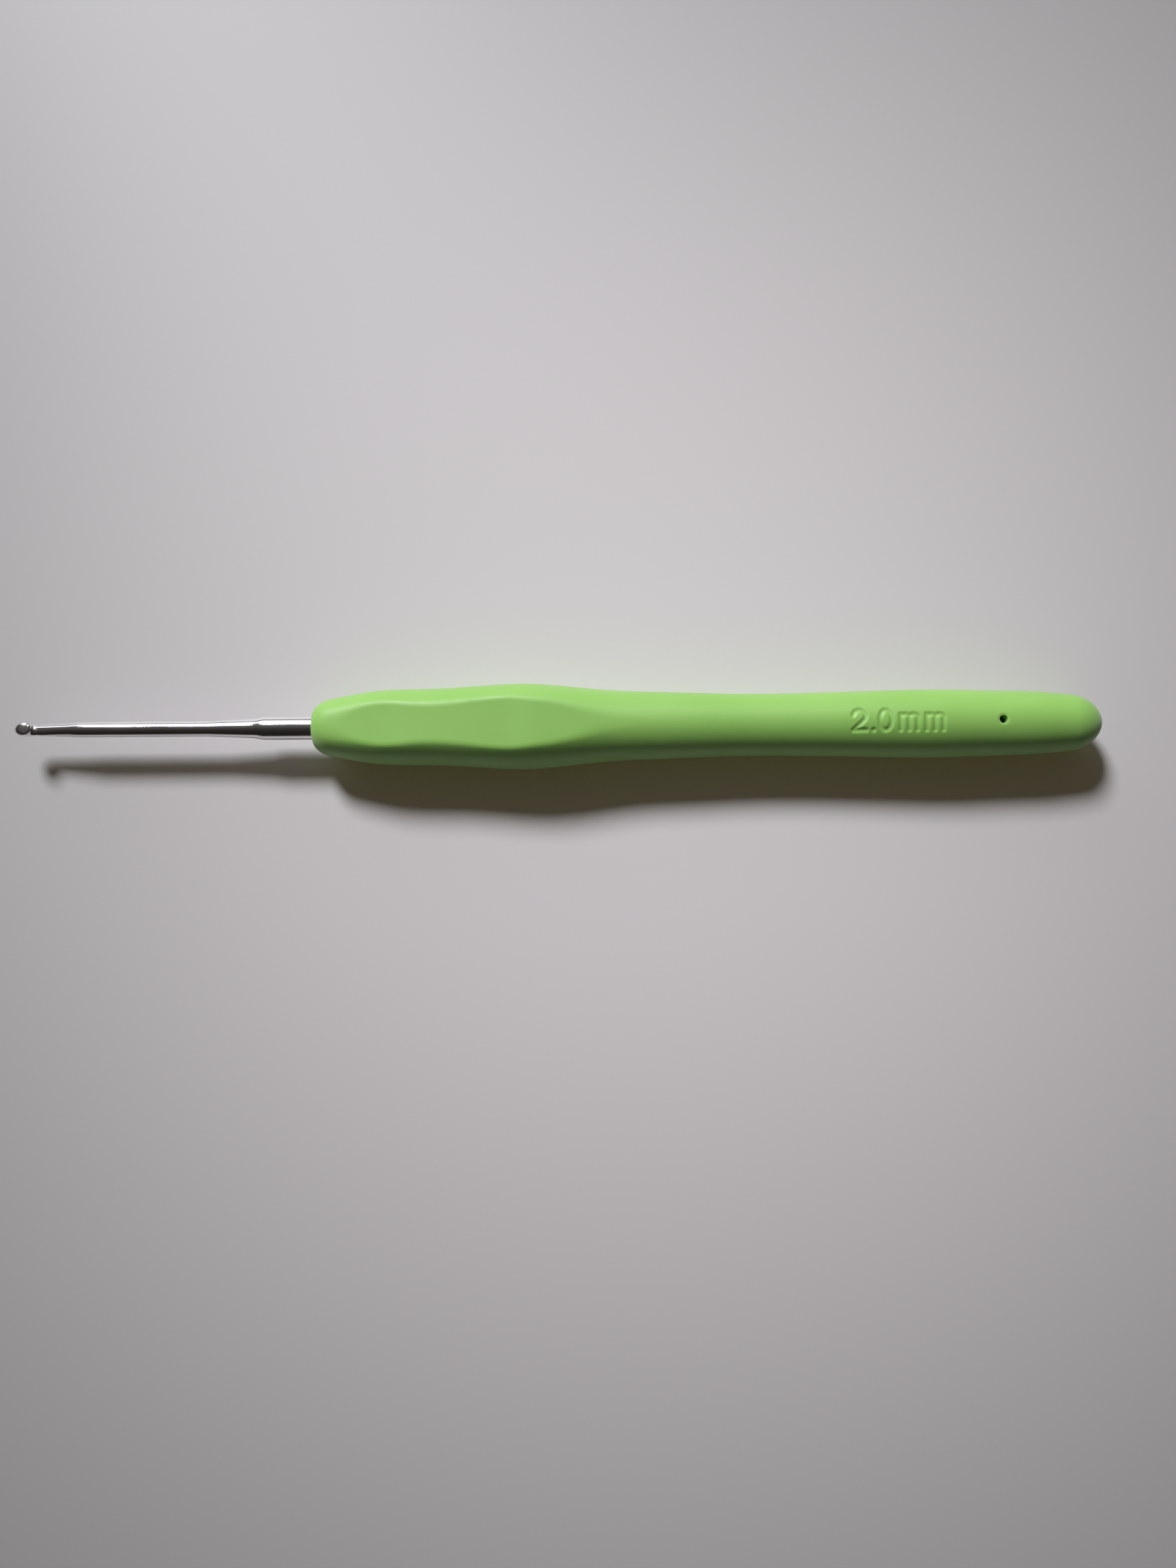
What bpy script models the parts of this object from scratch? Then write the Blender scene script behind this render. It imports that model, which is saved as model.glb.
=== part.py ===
"""Crochet hook: a polished aluminium hook moulded into a soft-skinned handle.

Blender 4.5, metres, +Z up. The hook lies along X with its tip towards -X. The upper thumb pad faces +Z, and
the mouth of the hook faces +Z with a slight turn towards +Y. The origin is under the middle of the object,
on the surface that it rests on.
"""

import math

import bmesh
import bpy
import numpy as np

MM = 0.001


def in_metres(stations):
    return np.array(stations, float) * MM


# Driving dimensions.
HOOK_SIZE = 2.0 * MM  # diameter of the working part of the shaft
SHANK_DIAMETER = 3.0 * MM  # diameter where the shaft enters the handle
OVERALL_LENGTH = 141.0 * MM
GRIP_LENGTH = 102.3 * MM
TANG_LENGTH = 32.0 * MM  # how far the shaft reaches into the handle
SKIN = 1.35 * MM  # thickness of the soft grip over the core
GAP = 0.2 * MM  # clearance between two pieces that touch on the real object

EXPOSED_LENGTH = OVERALL_LENGTH - GRIP_LENGTH
TANG_END = EXPOSED_LENGTH + TANG_LENGTH

# Head of the hook, from the neck forward round the tip to the lip. Each row is the inner point on the throat
# (from tip, above axis), the outer point (from tip, above axis) and the half width between them.
HEAD = in_metres(
    [
        (2.60, 0.15, 2.60, -0.87, 0.70),
        (2.36, 0.16, 1.90, -0.86, 0.72),
        (2.18, 0.22, 1.25, -0.77, 0.78),
        (2.09, 0.31, 0.62, -0.54, 0.85),
        (2.06, 0.40, 0.15, -0.15, 0.875),
        (2.05, 0.48, 0.00, 0.32, 0.875),
        (2.05, 0.56, 0.24, 0.76, 0.87),
        (2.06, 0.64, 0.76, 1.02, 0.84),
        (2.08, 0.71, 1.34, 1.07, 0.75),
        (2.13, 0.77, 1.83, 1.01, 0.55),
    ]
)
LIP_POINT = in_metres((2.18, 0.91))
MOUTH_TURN = math.radians(5)  # about the shaft's axis, away from the way that the thumb pads face

# Neck behind the throat: from tip, half width, bottom and top above the axis.
NECK = in_metres(
    [
        (3.4, 0.77, -0.87, 0.27),
        (4.5, 0.80, -0.90, 0.46),
        (5.7, 0.84, -0.94, 0.64),
        (6.8, 0.88, -0.97, 0.79),
        (7.5, 0.94, -0.98, 0.89),
        (8.3, 0.985, -0.995, 0.97),
    ]
)
NECK_END = 9.2 * MM

# Taper from the working shaft to the shank, ending in a short shoulder: from the handle's front.
TAPER_START = EXPOSED_LENGTH - 13.9 * MM
TAPER_END = EXPOSED_LENGTH - 7.6 * MM
TAPER_DIAMETER = 2.55 * MM
SHOULDER_END = EXPOSED_LENGTH - 6.6 * MM

# The tang's far end is pressed flat, which keeps the shaft from turning or pulling out.
KEY_LENGTH = 8.0 * MM
KEY_HALF_WIDTH = 1.9 * MM
KEY_HALF_HEIGHT = 1.1 * MM
KEY_RAMP = 1.5 * MM
KEY_CHAMFER = 0.4 * MM

# Handle diameter: from its front, diameter. The nose and the butt are rounded off from this.
GRIP_DIAMETERS = in_metres(
    [
        (0.0, 6.5),
        (4.0, 8.1),
        (7.5, 9.3),
        (11.0, 9.78),
        (16.0, 9.97),
        (21.5, 10.6),
        (27.5, 11.1),
        (33.0, 10.35),
        (38.5, 9.26),
        (46.0, 8.65),
        (55.0, 8.10),
        (66.0, 8.26),
        (74.5, 8.68),
        (81.0, 8.84),
        (88.0, 8.46),
        (94.0, 8.10),
        (98.5, 7.30),
        (102.3, 6.90),
    ]
)
NOSE_LENGTH = 2.2 * MM
NOSE_DROP = 1.45 * MM
BUTT_LENGTH = 4.2 * MM

# Thumb pads, above and below: from the handle's front, height of the flat above the axis.
PAD_HEIGHTS = in_metres(
    [
        (0.0, 3.50),
        (2.4, 3.60),
        (6.0, 3.83),
        (10.0, 3.98),
        (13.5, 4.24),
        (17.0, 4.35),
        (25.0, 4.43),
        (29.0, 4.63),
        (38.5, 4.63),
        (102.3, 4.63),
    ]
)
AXIS_HEIGHT = 4.63 * MM  # the rear of the lower pad rests on the surface below

# Rigid core: its ends and the grooves that lock the soft grip to it, from the handle's front.
CORE_START = 5.0 * MM
CORE_END = 96.0 * MM
GROOVES = in_metres((42.0, 58.0, 74.0))
GROOVE_HALF_WIDTH = 1.5 * MM
GROOVE_DEPTH = 0.5 * MM

# Locating hole left in the handle by the mould, from the handle's front, with its floor above the axis.
PIN_HOLE_AT = 88.4 * MM
PIN_HOLE_DIAMETER = 1.1 * MM
PIN_HOLE_FLOOR = 1.4 * MM
PIN_HOLE_SIDES = 20

# Facets around each section.
SIDE_FACETS = 12
PAD_FACETS = 5
SMALLEST_PAD_ANGLE = math.radians(12)
RING_POINTS = 2 * (SIDE_FACETS + PAD_FACETS)
ROD_POINTS = 24
HEAD_STEPS = 2  # sections made for each row of HEAD


def smooth_curve(stations, at):
    """Values at the places 'at' on a smooth curve through (place, value) stations, which never overshoots."""
    places, values = stations[:, 0], stations[:, 1]
    steps = np.diff(places)
    slopes = np.diff(values) / steps
    before, after = slopes[:-1], slopes[1:]
    same_way = before * after > 0
    inner = np.zeros(len(before))
    inner[same_way] = 2 / (1 / before[same_way] + 1 / after[same_way])
    tangents = np.concatenate([slopes[:1], inner, slopes[-1:]])
    low = np.clip(np.searchsorted(places, at, side="right") - 1, 0, len(steps) - 1)
    step = steps[low]
    part = (at - places[low]) / step
    left = (1 + 2 * part) * values[low] + part * step * tangents[low]
    right = (3 - 2 * part) * values[low + 1] - (1 - part) * step * tangents[low + 1]
    return (1 - part) ** 2 * left + part**2 * right


def quarter_round(part):
    """Height of a quarter of an ellipse, from 0 at part 0 to 1 at part 1."""
    part = np.clip(part, 0, 1)
    return np.sqrt(1 - (1 - part) ** 2)


def grip_radius(along):
    radius = smooth_curve(GRIP_DIAMETERS, along) / 2
    radius = radius - NOSE_DROP * (1 - quarter_round(along / NOSE_LENGTH))
    return radius * quarter_round((GRIP_LENGTH - along) / BUTT_LENGTH)


def grip_section(along, inset=0.0):
    """One ring of the handle's surface, or of a surface that lies inset below it. Two of the ring's corners
    follow each edge of the thumb pads."""
    radius = float(grip_radius(along)) - inset
    pad = float(smooth_curve(PAD_HEIGHTS, along)) - inset
    half_pad = max(math.acos(min(pad / radius, 1.0)), SMALLEST_PAD_ANGLE)
    side = math.pi / 2 - half_pad
    ring = []
    for facet in range(RING_POINTS):
        half_turn, step = divmod(facet, RING_POINTS // 2)
        if step < SIDE_FACETS:
            angle = side * (2 * step / SIDE_FACETS - 1)
        else:
            angle = side + 2 * half_pad * (step - SIDE_FACETS) / PAD_FACETS
        angle += math.pi * half_turn
        height = abs(math.sin(angle))
        reach = min(radius, pad / height) if height > 0 else radius
        ring.append((along, reach * math.cos(angle), reach * math.sin(angle)))
    return ring


def ellipse(along, half_width, bottom, top):
    """One upright elliptical ring around the shaft's axis."""
    middle, half_height = (bottom + top) / 2, (top - bottom) / 2
    turns = [2 * math.pi * point / ROD_POINTS for point in range(ROD_POINTS)]
    return [(along, half_width * math.cos(a), middle + half_height * math.sin(a)) for a in turns]


def grip_ellipse(along, half_width, half_height):
    """An elliptical ring whose corners lie at the same angles as those of the handle's front ring."""
    return [
        (along, half_width * y / math.hypot(y, z), half_height * z / math.hypot(y, z))
        for _, y, z in grip_section(0.0)
    ]


def turned(ring, angle):
    """The ring turned about the shaft's axis, so that its top moves towards +Y."""
    sine, cosine = math.sin(angle), math.cos(angle)
    return [(x, y * cosine + z * sine, z * cosine - y * sine) for x, y, z in ring]


def head_rings():
    """Sections that turn about the throat, from the neck round the tip of the hook to its lip."""
    rows = np.arange(len(HEAD)) * 1.0
    steps = np.linspace(0, len(HEAD) - 1, (len(HEAD) - 1) * HEAD_STEPS + 1)
    columns = [smooth_curve(np.column_stack([rows, column]), steps) for column in HEAD.T]
    rings = []
    for inner_x, inner_z, outer_x, outer_z, half_width in zip(*columns):
        middle_x, middle_z = (inner_x + outer_x) / 2, (inner_z + outer_z) / 2
        reach_x, reach_z = (inner_x - outer_x) / 2, (inner_z - outer_z) / 2
        turns = [2 * math.pi * point / ROD_POINTS for point in range(ROD_POINTS)]
        ring = [
            (
                middle_x + reach_x * math.sin(a),
                half_width * math.cos(a),
                middle_z + reach_z * math.sin(a),
            )
            for a in turns
        ]
        rings.append(turned(ring, MOUTH_TURN))
    return rings


def neck_rings():
    """Sections from the throat to the working shaft, over which the turn of the mouth dies away."""
    start = HEAD[0][0]
    return [turned(ellipse(*row), MOUTH_TURN * (NECK_END - row[0]) / (NECK_END - start)) for row in NECK]


def tang_sections(clearance):
    """(from tip, half width, half height) along the tang's flattened key, grown by a clearance."""
    round_end = TANG_END - KEY_LENGTH
    radius = SHANK_DIAMETER / 2
    return [
        (round_end, radius + clearance, radius + clearance),
        (round_end + KEY_RAMP, KEY_HALF_WIDTH + clearance, KEY_HALF_HEIGHT + clearance),
        (TANG_END - KEY_CHAMFER, KEY_HALF_WIDTH + clearance, KEY_HALF_HEIGHT + clearance),
    ]


def add_mesh(name, rings, material, parent, location):
    """A closed mesh through the rings, in order. A ring of one point closes an end; a ring of many is capped."""
    shape = bmesh.new()
    loops = [[shape.verts.new(point) for point in ring] for ring in rings]
    for low, high in zip(loops, loops[1:]):
        count = max(len(low), len(high))
        for i in range(count):
            j = (i + 1) % count
            if len(low) == 1:
                shape.faces.new((low[0], high[j], high[i]))
            elif len(high) == 1:
                shape.faces.new((low[i], low[j], high[0]))
            else:
                shape.faces.new((low[i], low[j], high[j], high[i]))
    for end in (loops[0], loops[-1]):
        if len(end) > 1:
            shape.faces.new(end)
    bmesh.ops.recalc_face_normals(shape, faces=shape.faces)
    mesh = bpy.data.meshes.new(name)
    shape.to_mesh(mesh)
    shape.free()
    mesh.shade_smooth()
    mesh.set_sharp_from_angle(angle=math.radians(30))
    mesh.materials.append(material)
    piece = bpy.data.objects.new(name, mesh)
    piece.parent = parent
    piece.location = location
    bpy.context.scene.collection.objects.link(piece)
    return piece


def add_material(name, colour, roughness, metallic):
    material = bpy.data.materials.new(name)
    material.use_nodes = True
    shader = material.node_tree.nodes["Principled BSDF"]
    shader.inputs["Base Color"].default_value = (*colour, 1)
    shader.inputs["Roughness"].default_value = roughness
    shader.inputs["Metallic"].default_value = metallic
    return material


def add_hook_shaft(parent):
    """The metal piece: head, throat, neck, working shaft, taper, shank and the tang hidden in the handle."""
    working, shank, taper = HOOK_SIZE / 2, SHANK_DIAMETER / 2, TAPER_DIAMETER / 2
    lip = turned([(LIP_POINT[0], 0.0, LIP_POINT[1])], MOUTH_TURN)
    places = [
        (NECK_END, working, working),
        (TAPER_START, working, working),
        (TAPER_END, taper, taper),
        (SHOULDER_END, shank, shank),
        *tang_sections(0.0),
        (TANG_END, KEY_HALF_WIDTH - KEY_CHAMFER, KEY_HALF_HEIGHT - KEY_CHAMFER),
    ]
    rod = [ellipse(x, width, -height, height) for x, width, height in places]
    material = add_material("polished_aluminium", (0.80, 0.81, 0.83), 0.12, 1.0)
    return add_mesh("hook_shaft", [lip, *head_rings()[::-1], *neck_rings(), *rod], material, parent, (0, 0, 0))


def keyed_rings(start, end, inset, groove_half_width):
    """Rings of a surface inset below the handle's, with the locking grooves sunk into it."""
    spacing = 4.0 * MM
    plain = np.linspace(start, end, round((end - start) / spacing) + 1)
    clear = groove_half_width + spacing / 4
    stations = [(x, inset) for x in plain if np.abs(GROOVES - x).min() > clear]
    for groove in GROOVES:
        for side in (-1, 1):
            edge = groove + side * groove_half_width
            stations += [(edge, inset), (edge - side * GAP / 2, inset + GROOVE_DEPTH)]
    return [grip_section(x, depth) for x, depth in sorted(stations)]


def add_pin_cutter(parent):
    """Guide for the locating hole, shared by the soft grip and the core."""
    top = GRIP_DIAMETERS[:, 1].max()
    depth = top - PIN_HOLE_FLOOR
    shape = bmesh.new()
    bmesh.ops.create_cone(
        shape,
        cap_ends=True,
        segments=PIN_HOLE_SIDES,
        radius1=PIN_HOLE_DIAMETER / 2,
        radius2=PIN_HOLE_DIAMETER / 2,
        depth=depth,
    )
    mesh = bpy.data.meshes.new("pin_hole_cutter")
    shape.to_mesh(mesh)
    shape.free()
    cutter = bpy.data.objects.new("pin_hole_cutter", mesh)
    cutter.parent = parent
    cutter.location = (EXPOSED_LENGTH + PIN_HOLE_AT, 0, PIN_HOLE_FLOOR + depth / 2)
    cutter.hide_render = True
    cutter.display_type = "WIRE"
    bpy.context.scene.collection.objects.link(cutter)
    return cutter


def cut(piece, cutter):
    modifier = piece.modifiers.new("locating_hole", "BOOLEAN")
    modifier.operation = "DIFFERENCE"
    modifier.solver = "EXACT"
    modifier.object = cutter


def add_grip_core(parent, cutter):
    """The rigid moulded core: solid behind the tang, which sits in a blind bore of the same shape."""
    outside = keyed_rings(CORE_START, CORE_END, SKIN + GAP, GROOVE_HALF_WIDTH + GAP)
    bore = [grip_ellipse(CORE_START, *[SHANK_DIAMETER / 2 + GAP] * 2)]
    bore += [grip_ellipse(x - EXPOSED_LENGTH, *halves) for x, *halves in tang_sections(GAP)]
    end_x, *end_halves = tang_sections(GAP)[-1]
    bore.append(grip_ellipse(end_x - EXPOSED_LENGTH + KEY_CHAMFER + GAP, *end_halves))
    material = add_material("core_plastic", (0.22, 0.42, 0.12), 0.45, 0.0)
    location = (EXPOSED_LENGTH, 0, 0)
    core = add_mesh("grip_core", [*outside[::-1], *bore], material, parent, location)
    cut(core, cutter)
    return core


def add_soft_grip(parent, cutter):
    """The soft skin moulded over the core: it closes round the shank in front and over the butt behind."""
    nose = NOSE_LENGTH * (1 - np.cos(np.linspace(0, math.pi / 2, 6)))
    pads = np.linspace(3.2 * MM, 39.0 * MM, 25)
    waist = np.linspace(42.0 * MM, GRIP_LENGTH - BUTT_LENGTH, 15)
    butt = GRIP_LENGTH - BUTT_LENGTH * (1 - np.sin(np.linspace(0, math.pi / 2, 9)))
    outside = [grip_section(x) for x in (*nose, *pads, *waist, *butt[1:-1])]
    cavity_start, cavity_end = CORE_START - GAP, CORE_END + GAP
    opening = [grip_ellipse(x, *[SHANK_DIAMETER / 2 + GAP] * 2) for x in (0.0, cavity_start)]
    cavity = keyed_rings(cavity_start, cavity_end, SKIN, GROOVE_HALF_WIDTH)
    rings = [[(GRIP_LENGTH, 0.0, 0.0)], *outside[::-1], *opening, *cavity]
    material = add_material("soft_rubber", (0.30, 0.62, 0.13), 0.55, 0.0)
    grip = add_mesh("soft_grip", rings, material, parent, (EXPOSED_LENGTH, 0, 0))
    cut(grip, cutter)
    return grip


def main():
    for thing in list(bpy.data.objects):
        bpy.data.objects.remove(thing, do_unlink=True)
    tip = bpy.data.objects.new("crochet_hook", None)
    tip.location = (-OVERALL_LENGTH / 2, 0, AXIS_HEIGHT)
    bpy.context.scene.collection.objects.link(tip)
    cutter = add_pin_cutter(tip)
    add_hook_shaft(tip)
    add_grip_core(tip, cutter)
    add_soft_grip(tip, cutter)


main()
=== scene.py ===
"""Looks of the crochet hook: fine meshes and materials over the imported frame. Metres, +Z up, tip at -X."""

import math

import bmesh
import bpy
import numpy as np
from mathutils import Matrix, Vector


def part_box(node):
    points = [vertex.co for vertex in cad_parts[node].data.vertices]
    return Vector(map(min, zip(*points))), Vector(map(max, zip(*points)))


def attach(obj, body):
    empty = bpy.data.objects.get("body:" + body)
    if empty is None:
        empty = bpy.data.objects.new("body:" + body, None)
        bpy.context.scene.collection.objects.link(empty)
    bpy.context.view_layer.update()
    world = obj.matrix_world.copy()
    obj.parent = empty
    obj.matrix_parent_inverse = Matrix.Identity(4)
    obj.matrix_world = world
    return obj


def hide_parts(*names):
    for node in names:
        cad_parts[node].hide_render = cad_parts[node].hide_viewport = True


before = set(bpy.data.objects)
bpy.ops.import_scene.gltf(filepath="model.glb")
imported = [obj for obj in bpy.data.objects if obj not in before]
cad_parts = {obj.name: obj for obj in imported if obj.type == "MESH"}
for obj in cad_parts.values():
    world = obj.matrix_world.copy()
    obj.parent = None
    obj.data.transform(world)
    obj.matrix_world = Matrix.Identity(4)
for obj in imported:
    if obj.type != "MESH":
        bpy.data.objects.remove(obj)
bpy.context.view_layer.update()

MM = 0.001
GRIP_LOW, GRIP_HIGH = (np.array(corner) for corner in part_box("soft_grip"))
SHAFT_LOW, SHAFT_HIGH = (np.array(corner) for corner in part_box("hook_shaft"))
AXIS_HEIGHT = (GRIP_LOW[2] + GRIP_HIGH[2]) / 2
TIP_X = SHAFT_LOW[0]
FRONT_X = GRIP_LOW[0]
GRIP_LENGTH = GRIP_HIGH[0] - FRONT_X
EXPOSED_LENGTH = FRONT_X - TIP_X
TANG_END = SHAFT_HIGH[0] - TIP_X


def in_metres(stations):
    return np.array(stations, float) * MM


# ---------------------------------------------------------------- camera, light and floor

VIEW_POINT = np.array([3.7 * MM, -7.56 * MM])  # what the middle of the image looks at, level with the hook
VIEW_TILT = math.radians(5.0)
VIEW_ROLL = math.radians(-0.42)
VIEW_DEPTH = 167.0 * MM
VIEW_WIDTH = 152.3 * MM  # width of the view, level with the hook
SENSOR = 36.0


def add_camera():
    data = bpy.data.cameras.new("camera")
    data.sensor_fit = "HORIZONTAL"
    data.sensor_width = SENSOR
    data.lens = SENSOR * VIEW_DEPTH / VIEW_WIDTH
    data.clip_start = 0.01
    data.clip_end = 10
    camera = bpy.data.objects.new("camera", data)
    bpy.context.scene.collection.objects.link(camera)
    x, y = VIEW_POINT
    camera.location = (
        x,
        y - VIEW_DEPTH * math.sin(VIEW_TILT),
        AXIS_HEIGHT + VIEW_DEPTH * math.cos(VIEW_TILT),
    )
    camera.rotation_euler = (VIEW_TILT, 0, VIEW_ROLL)
    bpy.context.scene.camera = camera


WINDOW_DISTANCE = 1.2
WINDOW_DIRECTION = np.array([-0.45, 1.03, 1.0])
WINDOW_SIZE = (0.29, 0.29)
WINDOW_POWER = 15.9
WINDOW_COLOUR = (1.0, 0.985, 1.03)
SILL_ELEVATION = math.radians(22)
SILL_DIRECTION = np.array([-0.45, math.cos(SILL_ELEVATION), math.sin(SILL_ELEVATION)])
SILL_SIZE = (0.9, 0.40)
SILL_POWER = 1.35
SILL_COLOUR = (0.98, 0.99, 1.0)


def add_window(name, shape, direction, size, power, colour):
    """An area light that faces the object from that direction."""
    data = bpy.data.lights.new(name, "AREA")
    data.shape = shape
    data.size, data.size_y = size
    data.energy = power
    data.color = colour
    light = bpy.data.objects.new(name, data)
    bpy.context.scene.collection.objects.link(light)
    direction = direction / np.linalg.norm(direction)
    light.location = direction * WINDOW_DISTANCE
    light.rotation_euler = light.location.to_track_quat("Z", "Y").to_euler()


ROOM_BRIGHT_SIDE = (-0.2, 0.69, 0.69)
ROOM_DARK = (0.017, 0.014, 0.012, 1)
ROOM_MIDDLE = (0.037, 0.034, 0.032, 1)
ROOM_BRIGHT = (0.110, 0.102, 0.098, 1)


def add_room():
    """World light: a dim room that is brighter on the window's side."""
    world = bpy.data.worlds.new("room")
    bpy.context.scene.world = world
    world.use_nodes = True
    nodes, links = world.node_tree.nodes, world.node_tree.links
    direction = nodes.new("ShaderNodeTexCoord")
    towards = nodes.new("ShaderNodeVectorMath")
    towards.operation = "DOT_PRODUCT"
    towards.inputs[1].default_value = ROOM_BRIGHT_SIDE
    ramp = nodes.new("ShaderNodeValToRGB")
    stops = ramp.color_ramp.elements
    stops[0].color, stops[1].color = ROOM_DARK, ROOM_BRIGHT
    middle = stops.new(0.55)
    middle.color = ROOM_MIDDLE
    links.new(direction.outputs["Generated"], towards.inputs[0])
    links.new(towards.outputs["Value"], ramp.inputs["Fac"])
    links.new(ramp.outputs["Color"], nodes["Background"].inputs["Color"])


FLOOR_SIZE = 0.9
FLOOR_POOL_CENTRE = (0.016, -0.001)
FLOOR_POOL_REACH = (0.165, 0.178)  # from the centre, along X and Y, to where the painted falloff of light leaves the paper at its darkest
# Painted light: the paper's colour runs from a lit tone in the middle to a dim tone further out, a painted
# pool of light and its falloff.
FLOOR_POOL_LIT, FLOOR_POOL_DIM = (0.682, 0.672, 0.684, 1), (0.262, 0.270, 0.278, 1)
FLOOR_PAINTED_GLOW, FLOOR_PAINTED_GLOW_STRENGTH = (1.0, 0.70, 0.26, 1), 0.029  # painted glow: a warm emission from the paper that stands in for light coming through it


def add_floor():
    """A sheet of pale paper with painted light: its colour dims away from the middle as a painted pool of
    light and its falloff, and it has a faint painted warm glow.
    """
    mesh = bpy.data.meshes.new("floor")
    half = FLOOR_SIZE / 2
    corners = [(-half, -half, 0), (half, -half, 0), (half, half, 0), (-half, half, 0)]
    mesh.from_pydata(corners, [], [(0, 1, 2, 3)])
    floor = bpy.data.objects.new("floor", mesh)
    bpy.context.scene.collection.objects.link(floor)
    material, shader, nodes, links = new_material("paper", FLOOR_POOL_LIT, 0.5, 0.0)
    shader.inputs["Specular IOR Level"].default_value = 0.4
    # Painted light: the paper glows faintly warm, standing in for light that comes through it into the
    # shadows.
    shader.inputs["Emission Color"].default_value = FLOOR_PAINTED_GLOW
    shader.inputs["Emission Strength"].default_value = FLOOR_PAINTED_GLOW_STRENGTH
    place = nodes.new("ShaderNodeTexCoord")
    from_middle = nodes.new("ShaderNodeMapping")
    from_middle.vector_type = "POINT"
    from_middle.inputs["Location"].default_value = (
        -FLOOR_POOL_CENTRE[0] / FLOOR_POOL_REACH[0],
        -FLOOR_POOL_CENTRE[1] / FLOOR_POOL_REACH[1],
        0,
    )
    from_middle.inputs["Scale"].default_value = (1 / FLOOR_POOL_REACH[0], 1 / FLOOR_POOL_REACH[1], 1)
    distance = nodes.new("ShaderNodeVectorMath")
    distance.operation = "LENGTH"
    # Painted falloff of the light: the paper darkens smoothly with distance from the middle.
    away = nodes.new("ShaderNodeMapRange")
    away.interpolation_type = "SMOOTHSTEP"
    shade = nodes.new("ShaderNodeValToRGB")
    stops = shade.color_ramp.elements
    stops[0].color, stops[1].color = FLOOR_POOL_LIT, FLOOR_POOL_DIM
    links.new(place.outputs["Object"], from_middle.inputs["Vector"])
    links.new(from_middle.outputs["Vector"], distance.inputs[0])
    links.new(distance.outputs["Value"], away.inputs["Value"])
    links.new(away.outputs["Result"], shade.inputs["Fac"])
    links.new(shade.outputs["Color"], shader.inputs["Base Color"])
    grain = add_noise(nodes, links, place.outputs["Object"], 900.0, 3.0)
    add_bump(nodes, links, shader, grain, 0.10, 0.05 * MM)
    mesh.materials.append(material)


# ---------------------------------------------------------------- materials


def new_material(name, colour, roughness, metallic):
    material = bpy.data.materials.new(name)
    material.use_nodes = True
    shader = material.node_tree.nodes["Principled BSDF"]
    shader.inputs["Base Color"].default_value = colour
    shader.inputs["Roughness"].default_value = roughness
    shader.inputs["Metallic"].default_value = metallic
    return material, shader, material.node_tree.nodes, material.node_tree.links


def add_noise(nodes, links, vector, scale, detail, stretch=(1, 1, 1)):
    """A noise socket, with the pattern stretched along an axis where stretch is under 1."""
    mapping = nodes.new("ShaderNodeMapping")
    mapping.inputs["Scale"].default_value = stretch
    noise = nodes.new("ShaderNodeTexNoise")
    noise.inputs["Scale"].default_value = scale
    noise.inputs["Detail"].default_value = detail
    links.new(vector, mapping.inputs["Vector"])
    links.new(mapping.outputs["Vector"], noise.inputs["Vector"])
    return noise.outputs["Fac"]


def add_range(nodes, links, value, low, high, start=0.3, end=0.7):
    """The socket's value spread from start..end to low..high."""
    spread = nodes.new("ShaderNodeMapRange")
    spread.inputs["From Min"].default_value = start
    spread.inputs["From Max"].default_value = end
    spread.inputs["To Min"].default_value = low
    spread.inputs["To Max"].default_value = high
    links.new(value, spread.inputs["Value"])
    return spread.outputs["Result"]


def add_bump(nodes, links, shader, height, strength, distance, below=None):
    bump = nodes.new("ShaderNodeBump")
    bump.inputs["Strength"].default_value = strength
    bump.inputs["Distance"].default_value = distance
    links.new(height, bump.inputs["Height"])
    if below:
        links.new(below, bump.inputs["Normal"])
    links.new(bump.outputs["Normal"], shader.inputs["Normal"])
    return bump.outputs["Normal"]


def add_two_tone(nodes, links, value, dark, light):
    """A colour socket between two colours, by a value from 0.3 to 0.7."""
    ramp = nodes.new("ShaderNodeValToRGB")
    stops = ramp.color_ramp.elements
    stops[0].position, stops[0].color = 0.3, dark
    stops[1].position, stops[1].color = 0.7, light
    links.new(value, ramp.inputs["Fac"])
    return ramp.outputs["Color"]


def soft_rubber():
    """Light green elastomer: a satin skin with a fine moulded grain and faint unevenness in colour."""
    material, shader, nodes, links = new_material("soft_rubber", (0.265, 0.54, 0.105, 1), 0.5, 0.0)
    place = nodes.new("ShaderNodeTexCoord").outputs["Object"]
    cloud = add_noise(nodes, links, place, 130.0, 3.0, (0.5, 1, 1))
    colour = add_two_tone(nodes, links, cloud, (0.270, 0.556, 0.106, 1), (0.298, 0.594, 0.122, 1))
    links.new(colour, shader.inputs["Base Color"])
    handling = add_noise(nodes, links, place, 320.0, 4.0)
    links.new(add_range(nodes, links, handling, 0.46, 0.60), shader.inputs["Roughness"])
    shader.inputs["Specular IOR Level"].default_value = 0.6
    shader.inputs["Sheen Weight"].default_value = 0.22
    shader.inputs["Subsurface Weight"].default_value = 0.12
    shader.inputs["Subsurface Radius"].default_value = (0.8, 1.0, 0.4)
    shader.inputs["Subsurface Scale"].default_value = 0.6 * MM
    ripple = add_noise(nodes, links, place, 260.0, 2.0)
    rolling = add_bump(nodes, links, shader, ripple, 0.25, 0.04 * MM)
    grain = add_noise(nodes, links, place, 9000.0, 2.0)
    add_bump(nodes, links, shader, grain, 0.25, 0.008 * MM, rolling)
    return material


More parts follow.
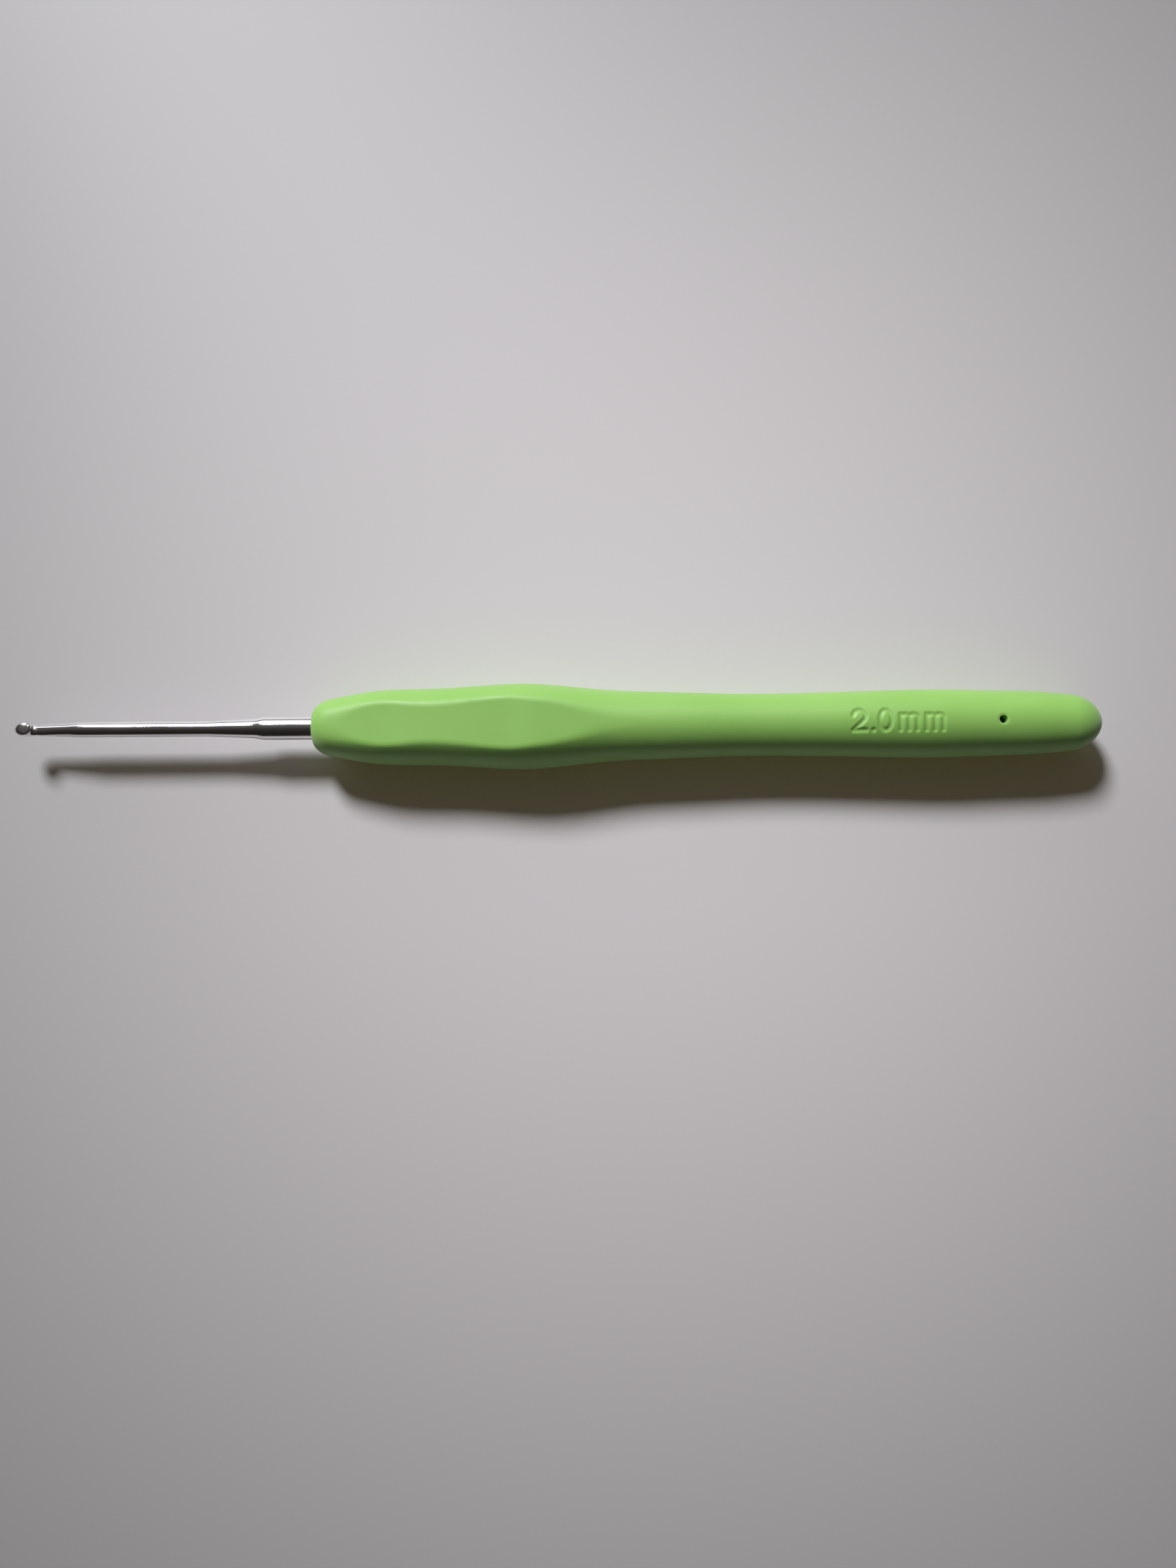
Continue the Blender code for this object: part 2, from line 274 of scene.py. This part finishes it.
def core_plastic():
    """Rigid green plastic, rougher where it keys to the skin."""
    material, shader, nodes, links = new_material("core_plastic", (0.16, 0.34, 0.07, 1), 0.5, 0.0)
    place = nodes.new("ShaderNodeTexCoord").outputs["Object"]
    cloud = add_noise(nodes, links, place, 400.0, 3.0)
    colour = add_two_tone(nodes, links, cloud, (0.15, 0.32, 0.06, 1), (0.17, 0.36, 0.08, 1))
    links.new(colour, shader.inputs["Base Color"])
    links.new(add_range(nodes, links, cloud, 0.45, 0.65), shader.inputs["Roughness"])
    add_bump(nodes, links, shader, cloud, 0.2, 0.02 * MM)
    return material


def polished_aluminium():
    """Bright drawn aluminium, with fine polishing lines along the shaft and a few duller smears."""
    material, shader, nodes, links = new_material("polished_aluminium", (0.86, 0.86, 0.87, 1), 0.12, 1.0)
    place = nodes.new("ShaderNodeTexCoord").outputs["Object"]
    smear = add_noise(nodes, links, place, 500.0, 4.0, (0.3, 1, 1))
    links.new(add_range(nodes, links, smear, 0.07, 0.17), shader.inputs["Roughness"])
    colour = add_two_tone(nodes, links, smear, (0.82, 0.82, 0.83, 1), (0.89, 0.89, 0.90, 1))
    links.new(colour, shader.inputs["Base Color"])
    lines = add_noise(nodes, links, place, 6000.0, 3.0, (0.02, 1, 1))
    add_bump(nodes, links, shader, lines, 0.12, 0.006 * MM)
    return material


# ---------------------------------------------------------------- curves


def smooth_curve(stations, at):
    """Values at the places 'at' on a smooth curve through (place, value) stations, which never overshoots."""
    places, values = stations[:, 0], stations[:, 1]
    steps = np.diff(places)
    slopes = np.diff(values) / steps
    before, after = slopes[:-1], slopes[1:]
    same_way = before * after > 0
    inner = np.zeros(len(before))
    inner[same_way] = 2 / (1 / before[same_way] + 1 / after[same_way])
    tangents = np.concatenate([slopes[:1], inner, slopes[-1:]])
    low = np.clip(np.searchsorted(places, at, side="right") - 1, 0, len(steps) - 1)
    step = steps[low]
    part = (at - places[low]) / step
    left = (1 + 2 * part) * values[low] + part * step * tangents[low]
    right = (3 - 2 * part) * values[low + 1] - (1 - part) * step * tangents[low + 1]
    return (1 - part) ** 2 * left + part**2 * right


def spline(stations, at):
    """Values on the natural cubic spline through (place, value) stations, which bends evenly throughout."""
    places, values = stations[:, 0], stations[:, 1]
    steps = np.diff(places)
    slopes = np.diff(values) / steps
    count = len(places)
    system, right = np.eye(count), np.zeros(count)
    for i in range(1, count - 1):
        system[i, i - 1 : i + 2] = steps[i - 1], 2 * (steps[i - 1] + steps[i]), steps[i]
        right[i] = 6 * (slopes[i] - slopes[i - 1])
    bends = np.linalg.solve(system, right)
    low = np.clip(np.searchsorted(places, at, side="right") - 1, 0, count - 2)
    step, after = steps[low], at - places[low]
    before = step - after
    curved = (bends[low] * before**3 + bends[low + 1] * after**3) / (6 * step)
    straight_low = (values[low] / step - bends[low] * step / 6) * before
    straight_high = (values[low + 1] / step - bends[low + 1] * step / 6) * after
    return curved + straight_low + straight_high


def quarter_round(part):
    part = np.clip(part, 0, 1)
    return np.sqrt(1 - (1 - part) ** 2)


def smooth_step(low, high, value):
    part = np.clip((value - low) / (high - low), 0, 1)
    return part * part * (3 - 2 * part)


def smooth_lower(a, b, blend):
    """The lower of a and b, with the corner between them rounded over the distance blend."""
    near = np.maximum(blend - np.abs(a - b), 0) / blend
    return np.minimum(a, b) - near * near * blend / 4


# ---------------------------------------------------------------- soft grip

# Handle diameter: from its front, diameter. The nose and the butt are rounded off from this.
GRIP_DIAMETERS = in_metres(
    [
        (0.0, 6.5),
        (4.0, 8.1),
        (7.5, 9.3),
        (11.0, 9.78),
        (16.0, 9.97),
        (21.5, 10.6),
        (27.5, 11.1),
        (33.0, 10.35),
        (38.5, 9.26),
        (46.0, 8.65),
        (55.0, 8.10),
        (66.0, 8.26),
        (74.5, 8.68),
        (81.0, 8.84),
        (88.0, 8.46),
        (94.0, 8.10),
        (98.5, 7.30),
        (102.3, 6.90),
    ]
)
NOSE_LENGTH = 2.2 * MM
NOSE_DROP = 1.45 * MM
BUTT_LENGTH = 4.2 * MM
PAD_HEIGHTS = in_metres(
    [
        (0.0, 3.50),
        (2.4, 3.60),
        (6.0, 3.83),
        (10.0, 3.98),
        (13.5, 4.24),
        (17.0, 4.35),
        (25.0, 4.43),
        (29.0, 4.63),
        (38.5, 4.63),
        (102.3, 4.63),
    ]
)
PAD_EDGE = 0.26 * MM  # rounding of the pads' edges, and how much more of it there is at the nose
PAD_EDGE_AT_NOSE = 0.55 * MM
PAD_EDGE_FADE = 7 * MM

OPENING_RADIUS = 1.53 * MM
OPENING_RIM = 0.15 * MM
CAVITY_START, CAVITY_END = 4.8 * MM, 96.2 * MM
CAVITY_RINGS = 46
SKIN = 1.35 * MM

# Columns around a section: each side, the top and the bottom. Those on top are fine enough for the figures.
SIDE_COLUMNS = 28
TOP_COLUMNS = 84
BOTTOM_COLUMNS = 28
COLUMN_CROWDING = 0.7
SMALLEST_PAD_ANGLE = math.radians(8)
PADS_END, FANNED_OUT = 42 * MM, 62 * MM  # between these the top columns fan out from the pad to FIGURE_ANGLE
FIGURE_ANGLE = math.radians(36)

# Debossed size, from the handle's front and from its middle line, with letter sizes.
FIGURES_START, FIGURES_END = 68.5 * MM, 81.8 * MM
FIGURE_LEFT, FIGURE_BASE = 69.1 * MM, -1.55 * MM
FIGURE_HEIGHT = 3.05 * MM
LETTER_HEIGHT = 2.45 * MM
STROKE = 0.25 * MM  # half the width of a stroke
STROKE_WALL = 0.22 * MM
FIGURE_DEPTH = 0.15 * MM
TWO_RADIUS = 0.78 * MM
NOUGHT_MIDDLE, NOUGHT_HALF_WIDTH = 4.33 * MM, 0.74 * MM
LETTER_LEFTS = (6.22 * MM, 9.50 * MM)
LETTER_PITCH = 1.07 * MM  # between the legs of a letter

HOLE_AT = 88.4 * MM
HOLE_RADIUS = 0.54 * MM
HOLE_FLOOR = 1.45 * MM
HOLE_RIM = 0.30 * MM
HOLE_RIM_DEPTH = 0.07 * MM
HOLE_SURROUND = 1.2 * MM  # stretch of closely spaced rings on each side of the hole
HOLE_DRAFT = 0.94  # radius at the hole's floor as a share of that at its mouth


def grip_radius(along):
    radius = spline(GRIP_DIAMETERS, along) / 2
    radius = radius - NOSE_DROP * (1 - quarter_round(along / NOSE_LENGTH))
    return radius * quarter_round((GRIP_LENGTH - along) / BUTT_LENGTH)


def column_angles(half_pad, crowding):
    """Angles around a section. Columns crowd towards the edges of the pads."""
    side = math.pi / 2 - half_pad
    spans = [
        (-side, side, SIDE_COLUMNS),
        (side, math.pi - side, TOP_COLUMNS),
        (math.pi - side, math.pi + side, SIDE_COLUMNS),
        (math.pi + side, 2 * math.pi - side, BOTTOM_COLUMNS),
    ]
    angles = []
    for start, end, count in spans:
        part = np.arange(count) / count
        part = part - crowding * np.sin(2 * math.pi * part) / (2 * math.pi)
        angles.append(start + (end - start) * part)
    return np.concatenate(angles)


def to_segment(u, v, start, end):
    (x0, y0), (x1, y1) = start, end
    length = (x1 - x0) ** 2 + (y1 - y0) ** 2
    part = np.clip(((u - x0) * (x1 - x0) + (v - y0) * (y1 - y0)) / length, 0, 1)
    return np.hypot(u - x0 - part * (x1 - x0), v - y0 - part * (y1 - y0))


def to_path(u, v, points):
    return np.min([to_segment(u, v, a, b) for a, b in zip(points, points[1:])], axis=0)


def arc(centre, radii, start, end, steps=14):
    turns = np.radians(np.linspace(start, end, steps))
    return [(centre[0] + radii[0] * math.cos(a), centre[1] + radii[1] * math.sin(a)) for a in turns]


def figure_paths():
    """Centre lines of the strokes of the size, 2.0 mm, in plain round-ended letterforms."""
    top, low = FIGURE_HEIGHT - STROKE, STROKE
    two_bow = arc((1.0 * MM, top - TWO_RADIUS), (TWO_RADIUS, TWO_RADIUS), 170, -38)
    two = two_bow + [(0.25 * MM, low), (1.85 * MM, low)]
    dot = [(2.78 * MM, low), (2.82 * MM, low)]
    nought_radii = (NOUGHT_HALF_WIDTH, FIGURE_HEIGHT / 2 - STROKE)
    nought = arc((NOUGHT_MIDDLE, FIGURE_HEIGHT / 2), nought_radii, 0, 360, 32)
    paths = [two, dot, nought]
    letter_top = LETTER_HEIGHT - STROKE
    bow_radii = (LETTER_PITCH / 2, LETTER_PITCH / 3)
    for left in LETTER_LEFTS:
        paths.append([(left, low), (left, letter_top)])
        for start in (left, left + LETTER_PITCH):
            bow = arc((start + bow_radii[0], letter_top - bow_radii[1]), bow_radii, 180, 0)
            paths.append(bow + [(start + LETTER_PITCH, low)])
    return paths


def figure_depth(along, across):
    """How far the debossed size sinks into the surface."""
    u, v = along - FIGURE_LEFT, across - FIGURE_BASE
    nearest = np.min([to_path(u, v, path) for path in figure_paths()], axis=0)
    return FIGURE_DEPTH * (1 - smooth_step(STROKE - STROKE_WALL, STROKE + STROKE_WALL, nearest))


def grip_ring(along, inset=0.0):
    """One ring of the handle's surface, or of a surface that lies inset below it, as rows of x, y, z."""
    radius = float(grip_radius(along)) - inset
    pad = float(smooth_curve(PAD_HEIGHTS, along)) - inset
    half_pad = max(math.acos(min(pad / radius, 1.0)), SMALLEST_PAD_ANGLE)
    towards_figures = float(smooth_step(PADS_END, FANNED_OUT, along))
    half_pad += (FIGURE_ANGLE - half_pad) * towards_figures
    angles = column_angles(half_pad, COLUMN_CROWDING * (1 - towards_figures))
    edge = PAD_EDGE + PAD_EDGE_AT_NOSE * (1 - float(smooth_step(0, PAD_EDGE_FADE, along)))
    height = np.maximum(np.abs(np.sin(angles)), 1e-9)
    reach = smooth_lower(radius, pad / height, edge)
    x = np.full(len(angles), along)
    y, z = reach * np.cos(angles), reach * np.sin(angles)
    if not inset:
        sink = np.zeros(len(angles))
        if FIGURES_START < along < FIGURES_END:
            sink = figure_depth(x, y)
        from_hole = np.hypot(along - HOLE_AT, y)
        sink += HOLE_RIM_DEPTH * (1 - smooth_step(HOLE_RADIUS, HOLE_RADIUS + HOLE_RIM, from_hole))
        sink[z < 0] = 0
        y, z = y * (1 - sink / reach), z * (1 - sink / reach)
    return np.column_stack([x, y, z])


def round_ring(along, radius, angles):
    return np.column_stack([np.full(len(angles), along), radius * np.cos(angles), radius * np.sin(angles)])


def grip_rows():
    """Places of the rings along the handle. Each stretch has its start, end and step."""
    nose = NOSE_LENGTH * (1 - np.cos(np.linspace(0, math.pi / 2, 24)))
    butt = GRIP_LENGTH - BUTT_LENGTH * (1 - np.sin(np.linspace(0, math.pi / 2, 34)))
    stretches = [
        (NOSE_LENGTH, PADS_END, 0.36 * MM),
        (PADS_END, FIGURES_START, 0.75 * MM),
        (FIGURES_START, FIGURES_END, 0.066 * MM),
        (FIGURES_END, HOLE_AT - HOLE_SURROUND, 0.4 * MM),
        (HOLE_AT - HOLE_SURROUND, HOLE_AT + HOLE_SURROUND, 0.1 * MM),
        (HOLE_AT + HOLE_SURROUND, GRIP_LENGTH - BUTT_LENGTH, 0.45 * MM),
    ]
    middle = [np.arange(start, end, step)[1:] for start, end, step in stretches]
    return np.concatenate([nose, *middle, butt[:-1]])


def add_piece(name, rings, node, material):
    """A closed mesh through the rings, in the object's frame, which stands for a CAD node."""
    count = max(len(ring) for ring in rings)
    points = np.concatenate(rings) + (0, 0, AXIS_HEIGHT)
    starts = np.cumsum([0] + [len(ring) for ring in rings])
    faces = []
    for low, high, low_start, high_start in zip(rings, rings[1:], starts, starts[1:]):
        for i in range(count):
            j = (i + 1) % count
            if len(low) == 1:
                faces.append((low_start, high_start + j, high_start + i))
            elif len(high) == 1:
                faces.append((low_start + i, low_start + j, high_start))
            else:
                faces.append((low_start + i, low_start + j, high_start + j, high_start + i))
    mesh = bpy.data.meshes.new(name)
    mesh.from_pydata(points.tolist(), [], faces)
    shape = bmesh.new()
    shape.from_mesh(mesh)
    bmesh.ops.recalc_face_normals(shape, faces=shape.faces)
    shape.to_mesh(mesh)
    shape.free()
    mesh.shade_smooth()
    mesh.materials.append(material)
    piece = bpy.data.objects.new(name, mesh)
    bpy.context.scene.collection.objects.link(piece)
    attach(piece, "root")
    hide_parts(node)
    return piece


def add_soft_grip():
    outside = [grip_ring(along) + (FRONT_X, 0, 0) for along in grip_rows()]
    end = np.array([[FRONT_X + GRIP_LENGTH, 0, 0]])
    first_angles = np.arctan2(outside[0][:, 2], outside[0][:, 1])
    opening = [
        round_ring(FRONT_X + along, OPENING_RADIUS, first_angles) for along in (OPENING_RIM, CAVITY_START)
    ]
    cavity_rows = np.linspace(CAVITY_START, CAVITY_END, CAVITY_RINGS)
    cavity = [grip_ring(along, SKIN) + (FRONT_X, 0, 0) for along in cavity_rows]
    cavity_end = np.array([[FRONT_X + CAVITY_END, 0, 0]])
    rings = [end, *outside[::-1], *opening, *cavity, cavity_end]
    grip = add_piece("moulded_grip", rings, "soft_grip", soft_rubber())
    drill_hole(grip)


def drill_hole(grip):
    """The mould's locating hole, through the skin to the core."""
    top = 6 * MM
    shape = bmesh.new()
    bmesh.ops.create_cone(
        shape,
        cap_ends=True,
        segments=64,
        radius1=HOLE_RADIUS * HOLE_DRAFT,
        radius2=HOLE_RADIUS,
        depth=top - HOLE_FLOOR,
    )
    mesh = bpy.data.meshes.new("hole_cutter")
    shape.to_mesh(mesh)
    shape.free()
    cutter = bpy.data.objects.new("hole_cutter", mesh)
    cutter.location = (FRONT_X + HOLE_AT, 0, AXIS_HEIGHT + (top + HOLE_FLOOR) / 2)
    bpy.context.scene.collection.objects.link(cutter)
    cut = grip.modifiers.new("hole", "BOOLEAN")
    cut.operation = "DIFFERENCE"
    cut.object = cutter
    bpy.context.view_layer.update()
    graph = bpy.context.evaluated_depsgraph_get()
    drilled = bpy.data.meshes.new_from_object(grip.evaluated_get(graph))
    grip.modifiers.clear()
    grip.data = drilled
    bpy.data.objects.remove(cutter, do_unlink=True)
    drilled.shade_smooth()
    drilled.set_sharp_from_angle(angle=math.radians(50))


# ---------------------------------------------------------------- metal hook

# Head of the hook, from the neck forward round the tip to the lip. Each row is the inner point on the throat
# (from tip, above axis), the outer point (from tip, above axis) and the half width between them.
HEAD = in_metres(
    [
        (2.60, 0.15, 2.60, -0.87, 0.70),
        (2.36, 0.16, 1.90, -0.86, 0.72),
        (2.18, 0.22, 1.25, -0.77, 0.78),
        (2.09, 0.31, 0.62, -0.54, 0.85),
        (2.06, 0.40, 0.15, -0.15, 0.875),
        (2.05, 0.48, 0.00, 0.32, 0.875),
        (2.05, 0.56, 0.24, 0.76, 0.87),
        (2.06, 0.64, 0.76, 1.02, 0.84),
        (2.08, 0.71, 1.34, 1.07, 0.75),
        (2.13, 0.77, 1.83, 1.01, 0.55),
    ]
)
LIP_POINT = in_metres((2.18, 0.91))
MOUTH_TURN = math.radians(5)  # about the shaft's axis, away from the way that the thumb pads face
HEAD_STEPS = 9

# Neck from the throat to the working shaft: from tip, half width, bottom and top above the axis.
NECK = in_metres(
    [
        (2.60, 0.70, -0.87, 0.15),
        (3.4, 0.77, -0.87, 0.27),
        (4.5, 0.80, -0.90, 0.46),
        (5.7, 0.84, -0.94, 0.64),
        (6.8, 0.88, -0.97, 0.79),
        (7.5, 0.94, -0.98, 0.89),
        (8.3, 0.985, -0.995, 0.97),
        (9.2, 1.0, -1.0, 1.0),
    ]
)
NECK_RINGS = 44

WORKING_RADIUS = 1.0 * MM
SHANK_RADIUS = 1.5 * MM
TAPER_RADIUS = 1.275 * MM
TAPER_START = EXPOSED_LENGTH - 13.9 * MM
TAPER_END = EXPOSED_LENGTH - 7.6 * MM
SHOULDER_END = EXPOSED_LENGTH - 6.6 * MM
KEY_START = TANG_END - 8.0 * MM
KEY_RAMP = 1.5 * MM
KEY_HALVES = (1.9 * MM, 1.1 * MM)
KEY_CHAMFER = 0.4 * MM
# A change of slope is rounded this far to each side of it, or over this share of the shorter stretch there.
CORNER_REACH = 0.5 * MM
CORNER_SHARE = 0.45
ROD_COLUMNS = 72


def ellipse(along, half_width, bottom, top):
    turns = np.linspace(0, 2 * math.pi, ROD_COLUMNS, endpoint=False)
    middle, half_height = (bottom + top) / 2, (top - bottom) / 2
    x = np.full(ROD_COLUMNS, along)
    return np.column_stack([x, half_width * np.cos(turns), middle + half_height * np.sin(turns)])


def turned(ring, angle):
    """The ring turned about the shaft's axis, so that its top moves towards +Y."""
    x, y, z = ring.T
    sine, cosine = math.sin(angle), math.cos(angle)
    return np.column_stack([x, y * cosine + z * sine, z * cosine - y * sine])


def head_rings():
    """Sections that turn about the throat, from the lip round the tip of the hook to its neck."""
    rows = np.arange(len(HEAD)) * 1.0
    steps = np.linspace(0, len(HEAD) - 1, (len(HEAD) - 1) * HEAD_STEPS + 1)
    columns = [spline(np.column_stack([rows, column]), steps) for column in HEAD.T]
    turns = np.linspace(0, 2 * math.pi, ROD_COLUMNS, endpoint=False)
    rings = []
    for inner_x, inner_z, outer_x, outer_z, half_width in zip(*columns):
        x = (inner_x + outer_x) / 2 + (inner_x - outer_x) / 2 * np.sin(turns)
        z = (inner_z + outer_z) / 2 + (inner_z - outer_z) / 2 * np.sin(turns)
        rings.append(np.column_stack([x, half_width * np.cos(turns), z]))
    return [turned(ring, MOUTH_TURN) for ring in lip_rings(rings[-1]) + rings[::-1]]


def lip_rings(last):
    """Rings that round the lip off from its last section to its point."""
    middle = last.mean(axis=0)
    point = np.array([LIP_POINT[0], 0, LIP_POINT[1]])
    rings = [point[None, :]]
    for turn in np.radians(np.linspace(80, 12, 7)):
        centre = middle + (point - middle) * math.sin(turn)
        rings.append(centre + (last - middle) * math.cos(turn))
    return rings


def neck_rings():
    """Sections from the throat to the working shaft, over which the turn of the mouth dies away."""
    start, end = NECK[0][0], NECK[-1][0]
    places = np.linspace(start, end, NECK_RINGS)[1:]
    columns = [smooth_curve(NECK[:, [0, column]], places) for column in (1, 2, 3)]
    turns = MOUTH_TURN * (end - places) / (end - start)
    return [turned(ellipse(*row), turn) for row, turn in zip(zip(places, *columns), turns)]


def rod_rings():
    """Rings of the straight stretches behind the neck, with each change of slope rounded a little."""
    corners = [
        (NECK[-1][0], WORKING_RADIUS, WORKING_RADIUS),
        (TAPER_START, WORKING_RADIUS, WORKING_RADIUS),
        (TAPER_END, TAPER_RADIUS, TAPER_RADIUS),
        (SHOULDER_END, SHANK_RADIUS, SHANK_RADIUS),
        (KEY_START, SHANK_RADIUS, SHANK_RADIUS),
        (KEY_START + KEY_RAMP, *KEY_HALVES),
        (TANG_END - KEY_CHAMFER, *KEY_HALVES),
        (TANG_END, KEY_HALVES[0] - KEY_CHAMFER, KEY_HALVES[1] - KEY_CHAMFER),
    ]
    corners = np.array(corners)
    rings = []
    for before, corner, after in zip(corners, corners[1:], corners[2:]):
        shortest = min(corner[0] - before[0], after[0] - corner[0])
        reach = min(CORNER_SHARE * shortest, CORNER_REACH)
        start = corner + (before - corner) * reach / (corner[0] - before[0])
        end = corner + (after - corner) * reach / (after[0] - corner[0])
        for part in np.linspace(0, 1, 6):
            x, wide, high = (1 - part) ** 2 * start + 2 * part * (1 - part) * corner + part**2 * end
            rings.append(ellipse(x, wide, -high, high))
    x, wide, high = corners[-1]
    rings.append(ellipse(x, wide, -high, high))
    return rings


def add_hook():
    end = np.array([[TANG_END, 0, 0]])
    rings = [ring + (TIP_X, 0, 0) for ring in (*head_rings(), *neck_rings(), *rod_rings(), end)]
    hook = add_piece("metal_hook", rings, "hook_shaft", polished_aluminium())
    hook.data.set_sharp_from_angle(angle=math.radians(40))


def dress_core():
    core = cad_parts["grip_core"]
    core.data.materials.clear()
    core.data.materials.append(core_plastic())


# ---------------------------------------------------------------- scene

add_camera()
add_window("window", "ELLIPSE", WINDOW_DIRECTION, WINDOW_SIZE, WINDOW_POWER, WINDOW_COLOUR)
add_window("window_below", "RECTANGLE", SILL_DIRECTION, SILL_SIZE, SILL_POWER, SILL_COLOUR)
add_room()
add_floor()
add_soft_grip()
add_hook()
dress_core()
bpy.context.scene.view_settings.view_transform = "Standard"
